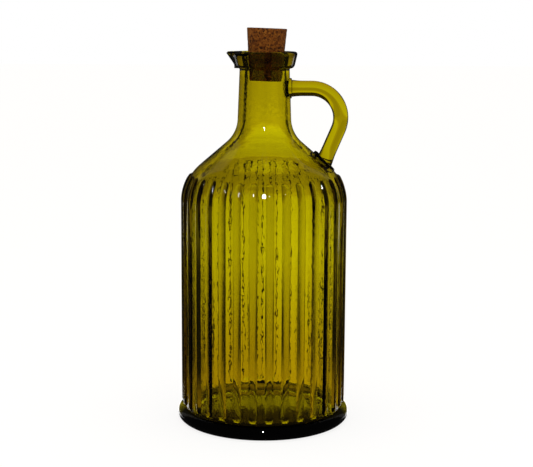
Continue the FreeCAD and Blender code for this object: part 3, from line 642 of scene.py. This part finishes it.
corkFinish = {
    "dark": (0.012, 0.003, 0.0008, 1), "brown": (0.105, 0.028, 0.0022, 1), "light": (0.2, 0.067, 0.007, 1),
    "brownAt": 0.4, "granules": 800, "flecks": 1500, "fleckShare": 0.41, "fleckEdge": 0.04,
    "roughness": 0.9, "sheen": 0.1,
}


def corkMaterial():
    c = corkFinish
    material, nodes, links = newMaterial("corkGrain")
    output = nodes.new("ShaderNodeOutputMaterial")
    surface = nodes.new("ShaderNodeBsdfPrincipled")
    surface.inputs["Roughness"].default_value = c["roughness"]
    surface.inputs["Specular IOR Level"].default_value = c["sheen"]
    place = nodes.new("ShaderNodeTexCoord")
    cells = nodes.new("ShaderNodeTexVoronoi")
    cells.inputs["Scale"].default_value = c["granules"]
    tones = nodes.new("ShaderNodeValToRGB")
    tones.color_ramp.elements[0].color = c["dark"]
    tones.color_ramp.elements[1].color = c["light"]
    tones.color_ramp.elements.new(c["brownAt"]).color = c["brown"]
    flecks = nodes.new("ShaderNodeTexNoise")
    flecks.inputs["Scale"].default_value = c["flecks"]
    flecks.inputs["Detail"].default_value = 2
    plain = nodes.new("ShaderNodeMapRange")
    plain.inputs["From Min"].default_value = c["fleckShare"] - c["fleckEdge"]
    plain.inputs["From Max"].default_value = c["fleckShare"] + c["fleckEdge"]
    tint = nodes.new("ShaderNodeMix")
    tint.data_type = "RGBA"
    tint.inputs["A"].default_value = c["dark"]
    links.new(place.outputs["Object"], cells.inputs["Vector"])
    links.new(cells.outputs["Color"], tones.inputs["Fac"])
    links.new(place.outputs["Object"], flecks.inputs["Vector"])
    links.new(flecks.outputs["Fac"], plain.inputs["Value"])
    links.new(plain.outputs["Result"], tint.inputs["Factor"])
    links.new(tones.outputs["Color"], tint.inputs["B"])
    links.new(tint.outputs["Result"], surface.inputs["Base Color"])
    links.new(surface.outputs["BSDF"], output.inputs["Surface"])
    return material


glass.data.materials.clear()
glass.data.materials.append(bottleGlass())
stopper.data.materials.clear()
stopper.data.materials.append(corkMaterial())
for piece, node, slot in ((glass, "glass_bottle", "green_glass"), (stopper, "cork", "cork")):
    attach(piece, "root")
    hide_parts(node)
print("finishes placed")


# floor, light and camera
# the floor's size and the distances on it are in metres
studio = {
    "floorSize": 12, "floorColor": (0.80, 0.77, 0.72, 1), "openFloor": 1.07, "shadowShare": 0.25,
    # what the glass shows of the table, by distance, all painted light and shade: a painted shadow under it,
    # warm close by, white farther off
    "paintedTableShading": ((0.0, (0.006, 0.005, 0.004)), (0.0615, (0.006, 0.005, 0.004)), (0.064, (0.92, 0.64, 0.38)),
                   (0.18, (0.90, 0.68, 0.40)), (0.35, (1.02, 0.90, 0.60)), (0.6, (1.15, 1.09, 0.9)),
                   (1.0, (1.22, 1.19, 1)), (1.4, (1.28, 1.24, 1)), (1.7, (1.08, 0.98, 0.75)),
                   (2.1, (0.9, 0.78, 0.55)), (2.6, (0.94, 0.83, 0.68)), (3.2, (0.78, 0.68, 0.55))),
    # what it shows of the room, by the sine of the height angle, as painted light and shade: bright low down,
    # dark higher up
    "paintedRoomLight": ((0.0, (0.78, 0.68, 0.55)), (0.1, (0.8, 0.70, 0.52)), (0.18, (1.2, 1.08, 0.8)),
                  (0.31, (1.3, 1.2, 0.9)), (0.322, (0.07, 0.05, 0.03)), (0.75, (0.015, 0.012, 0.01))),
    # painted shade round the bottle, shaped as dark cards and seen only through it: direction from straight
    # behind, half width
    "shadeCards": ((-69, 28), (59, 19), (169, 19)), "nearShadeCards": ((-64, 36), (56, 28), (169, 19)), "shadeCardEdge": 5,
    "paintedShadeTone": 0.03, "shadeCardStarts": (0.06, 0.16), "nearEnds": (0.2, 0.5),
    "shadeCardFades": (0.35, 1.2), "shadeCardFar": 0.75,
    # painted reflections: white strips that mirror in its flanks, and the pale table close to the foot as a
    # painted sheen
    "reflectionStrips": ((-47, 6), (48, 5)), "stripEdge": 2, "stripStarts": (0.4, 0.6), "stripEnds": (0.8, 1.2),
    "stripLight": 0.8, "stripGlow": 0.12,
    "sides": ((-52, 36), (52, 36)), "sideEdge": 12, "sideEnds": (0.066, 0.08), "sideLight": 2.2,
    # painted reflection: the rest of the floor and room shows this dim in a mirror, though it lights the
    # bottle white
    "mirrored": 0.02,  # how bright all the rest is in a mirror
}


def mathNode(tree, operation, first, second):
    node = tree.nodes.new("ShaderNodeMath")
    node.operation = operation
    for socket, value in zip(node.inputs, (first, second)):
        if isinstance(value, (int, float)):
            socket.default_value = value
        else:
            tree.links.new(value, socket)
    return node.outputs[0]


def mixColors(tree, factor, first, second):
    node = tree.nodes.new("ShaderNodeMix")
    node.data_type = "RGBA"
    tree.links.new(factor, node.inputs["Factor"])
    for name, value in (("A", first), ("B", second)):
        if isinstance(value, tuple):
            node.inputs[name].default_value = value
        else:
            tree.links.new(value, node.inputs[name])
    return node.outputs["Result"]


def smoothRange(tree, value, start, end):
    node = tree.nodes.new("ShaderNodeMapRange")
    node.interpolation_type = "SMOOTHSTEP"
    node.inputs["From Min"].default_value = start
    node.inputs["From Max"].default_value = end
    tree.links.new(value, node.inputs["Value"])
    return node.outputs["Result"]


def toneRamp(tree, value, tones):
    # a ramp holds nothing brighter than 1, so it is made dimmer and scaled up again
    brightest = max(max(color) for place, color in tones)
    node = tree.nodes.new("ShaderNodeValToRGB")
    elements = node.color_ramp.elements
    for place, color in tones[1:-1]:
        elements.new(place)
    for element, (place, color) in zip(elements, tones):
        element.position = place
        element.color = tuple(part / brightest for part in color) + (1,)
    scaled = tree.nodes.new("ShaderNodeVectorMath")
    scaled.operation = "SCALE"
    scaled.inputs["Scale"].default_value = brightest
    tree.links.new(value, node.inputs["Fac"])
    tree.links.new(node.outputs["Color"], scaled.inputs[0])
    return scaled.outputs["Vector"]


def directionMask(name, spans, edge):
    # how much a card of painted shade or a strip of painted reflection stands in a direction
    group = bpy.data.node_groups.new(name, "ShaderNodeTree")
    group.interface.new_socket("Direction", in_out="INPUT", socket_type="NodeSocketVector")
    group.interface.new_socket("Mask", in_out="OUTPUT", socket_type="NodeSocketFloat")
    inside, outside = group.nodes.new("NodeGroupInput"), group.nodes.new("NodeGroupOutput")
    level = group.nodes.new("ShaderNodeVectorMath")
    level.operation = "MULTIPLY"
    level.inputs[1].default_value = (1, 1, 0)
    unit = group.nodes.new("ShaderNodeVectorMath")
    unit.operation = "NORMALIZE"
    group.links.new(inside.outputs["Direction"], level.inputs[0])
    group.links.new(level.outputs["Vector"], unit.inputs[0])
    mask = 0
    for direction, half in spans:
        dot = group.nodes.new("ShaderNodeVectorMath")
        dot.operation = "DOT_PRODUCT"
        angle = math.radians(direction)
        dot.inputs[1].default_value = (math.sin(angle), math.cos(angle), 0)
        group.links.new(unit.outputs["Vector"], dot.inputs[0])
        span = smoothRange(group, dot.outputs["Value"],
                           math.cos(math.radians(half + edge)), math.cos(math.radians(half - edge)))
        mask = mathNode(group, "MAXIMUM", mask, span)
    group.links.new(mask, outside.inputs["Mask"])
    return group


# painted shade round the bottle, seen only through the glass
shadeCards = directionMask("paintedShadeCards", studio["shadeCards"], studio["shadeCardEdge"])
nearShadeCards = directionMask("nearShadeCards", studio["nearShadeCards"], studio["shadeCardEdge"])
# painted reflections in the bottle's flanks, seen only in a mirror
reflectionStrips = directionMask("paintedReflectionStrips", studio["reflectionStrips"], studio["stripEdge"])
sides = directionMask("paintedSheenSides", studio["sides"], studio["sideEdge"])


def maskOf(tree, group, direction):
    node = tree.nodes.new("ShaderNodeGroup")
    node.node_tree = group
    tree.links.new(direction, node.inputs["Direction"])
    return node.outputs["Mask"]


def inverse(tree, value):
    return mathNode(tree, "SUBTRACT", 1, value)


def grey(value):
    return (value, value, value, 1)


def mirroredOnly(tree, rays):
    # a ray that passed into glass counts as glossy too
    outside = inverse(tree, rays.outputs["Is Transmission Ray"])
    return mathNode(tree, "MULTIPLY", rays.outputs["Is Glossy Ray"], outside)


def paintedReflectionColor(tree, reflectionStrip, level):
    return mixColors(tree, reflectionStrip, grey(studio["mirrored"]), grey(level))


def paintedTableThroughGlass(tree, place, distance):
    # the table as it shows through the glass, as painted light and shade: a painted shadow under the bottle,
    # warm and white farther off
    s = studio
    reach = s["paintedTableShading"][-1][0]
    tones = [(edge / reach, color) for edge, color in s["paintedTableShading"]]
    # painted shadow under the bottle and painted light farther off, as the glass shows the table
    tone = toneRamp(tree, mathNode(tree, "DIVIDE", distance, reach), tones)
    lost = mathNode(tree, "MULTIPLY", smoothRange(tree, distance, *s["shadeCardFades"]), 1 - s["shadeCardFar"])
    # painted shade: dark cards mixed over the table
    shadeShare = mathNode(tree, "MULTIPLY", maskOf(tree, shadeCards, place), inverse(tree, lost))
    near = inverse(tree, smoothRange(tree, distance, *s["nearEnds"]))
    nearShadeShare = mathNode(tree, "MULTIPLY", maskOf(tree, nearShadeCards, place), near)
    shadeShare = mathNode(tree, "MAXIMUM", shadeShare, nearShadeShare)
    started = smoothRange(tree, distance, *s["shadeCardStarts"])
    return mixColors(tree, mathNode(tree, "MULTIPLY", shadeShare, started), tone, grey(s["paintedShadeTone"]))


def paintedTableReflection(tree, place, distance):
    # the table as painted reflections in the outside of the glass: white strips, and a pale sheen close to
    # the foot
    s = studio
    between = mathNode(tree, "SUBTRACT", smoothRange(tree, distance, *s["stripStarts"]),
                       smoothRange(tree, distance, *s["stripEnds"]))
    # painted reflections: white strips, and a pale sheen close to the foot
    reflectionStrip = mathNode(tree, "MULTIPLY", maskOf(tree, reflectionStrips, place), between)
    close = inverse(tree, smoothRange(tree, distance, *s["sideEnds"]))
    side = mathNode(tree, "MULTIPLY", maskOf(tree, sides, place), close)
    return mixColors(tree, side, paintedReflectionColor(tree, reflectionStrip, s["stripLight"]), grey(s["sideLight"]))


def emission(tree, color):
    node = tree.nodes.new("ShaderNodeEmission")
    tree.links.new(color, node.inputs["Color"])
    return node.outputs["Emission"]


def mixShaders(tree, factor, first, second):
    node = tree.nodes.new("ShaderNodeMixShader")
    for socket, value in zip(node.inputs, (factor, first, second)):
        tree.links.new(value, socket)
    return node.outputs["Shader"]


def paleFloor():
    # plain and pale with a soft shadow to the eye, while the glass shows painted light and shade instead: a
    # painted table with a painted shadow under the bottle, painted shade cards, and painted reflections in a
    # mirror
    material, nodes, links = newMaterial("paleFloor")
    tree = material.node_tree
    output = nodes.new("ShaderNodeOutputMaterial")
    rays = nodes.new("ShaderNodeLightPath")
    place = nodes.new("ShaderNodeTexCoord").outputs["Object"]
    split = nodes.new("ShaderNodeSeparateXYZ")
    links.new(place, split.inputs["Vector"])
    distance = mathNode(tree, "MAXIMUM", mathNode(tree, "ABSOLUTE", split.outputs["X"], 0),
                        mathNode(tree, "ABSOLUTE", split.outputs["Y"], 0))
    matt = nodes.new("ShaderNodeBsdfDiffuse")
    matt.inputs["Color"].default_value = studio["floorColor"]
    openFloor = nodes.new("ShaderNodeEmission")
    openFloor.inputs["Strength"].default_value = studio["openFloor"]
    lit = mathNode(tree, "MULTIPLY", rays.outputs["Is Camera Ray"], 1 - studio["shadowShare"])
    shown = mixShaders(tree, lit, matt.outputs["BSDF"], openFloor.outputs["Emission"])
    # painted light and shade of the table, seen only through the glass
    throughGlass = emission(tree, paintedTableThroughGlass(tree, place, distance))
    shown = mixShaders(tree, rays.outputs["Is Transmission Ray"], shown, throughGlass)
    # painted reflections of the floor, seen only in a mirror
    inMirror = emission(tree, paintedTableReflection(tree, place, distance))
    shown = mixShaders(tree, mirroredOnly(tree, rays), shown, inMirror)
    links.new(shown, output.inputs["Surface"])
    return material


def studioRoom():
    # white all round to the eye and as light, while the glass shows painted light and shade instead: a room
    # bright low down and dark higher up, painted shade cards, and painted reflection strips in a mirror
    world = bpy.data.worlds.new("studio")
    bpy.context.scene.world = world
    world.use_nodes = True
    tree = world.node_tree
    rays = tree.nodes.new("ShaderNodeLightPath")
    direction = tree.nodes.new("ShaderNodeTexCoord").outputs["Generated"]
    split = tree.nodes.new("ShaderNodeSeparateXYZ")
    tree.links.new(direction, split.inputs["Vector"])
    # painted light and shade of the room, seen only through the glass
    tone = toneRamp(tree, split.outputs["Z"], studio["paintedRoomLight"])
    # painted shade: dark cards in the room, seen only through the glass
    tone = mixColors(tree, maskOf(tree, shadeCards, direction), tone, grey(studio["paintedShadeTone"]))
    shown = mixColors(tree, rays.outputs["Is Transmission Ray"], grey(1), tone)
    # painted reflection: white strips glowing in the room for mirror rays only
    glow = paintedReflectionColor(tree, maskOf(tree, reflectionStrips, direction), studio["stripGlow"])
    shown = mixColors(tree, mirroredOnly(tree, rays), shown, glow)
    tree.links.new(shown, tree.nodes["Background"].inputs["Color"])


clearSelection()
bpy.ops.mesh.primitive_plane_add(size=studio["floorSize"], location=(0, 0, 0))
floor = named("floor")
floor.data.materials.append(paleFloor())
studioRoom()

lamp = {"place": (0, -900, 620), "aim": (0, 0, 130), "wide": 60, "high": 160, "power": 3}
lampData = bpy.data.lights.new("frontLamp", "AREA")
lampData.shape = "RECTANGLE"
lampData.size = lamp["wide"] * mm
lampData.size_y = lamp["high"] * mm
lampData.energy = lamp["power"]
frontLamp = bpy.data.objects.new("frontLamp", lampData)
bpy.context.scene.collection.objects.link(frontLamp)
frontLamp.visible_transmission = False
frontLamp.location = Vector(lamp["place"]) * mm
frontLamp.rotation_euler = (Vector(lamp["aim"]) - Vector(lamp["place"])).to_track_quat("-Z", "Y").to_euler()

bpy.context.scene.view_settings.view_transform = "Standard"

view = {"place": (1.69, -810.76, 258.30), "down": 9.6327, "roll": 0.2953, "lens": 86.85051, "sensor": 36,
        "near": 50}
cameraData = bpy.data.cameras.new("camera")
camera = bpy.data.objects.new("camera", cameraData)
bpy.context.scene.collection.objects.link(camera)
cameraData.sensor_width = view["sensor"]
cameraData.lens = view["lens"]
cameraData.clip_start = view["near"] * mm
camera.matrix_world = (Matrix.Translation(Vector(view["place"]) * mm)
                       @ Matrix.Rotation(math.radians(90 - view["down"]), 4, "X")
                       @ Matrix.Rotation(math.radians(view["roll"]), 4, "Z"))
bpy.context.scene.camera = camera
print("floor, light and camera placed")

print("scene ready")
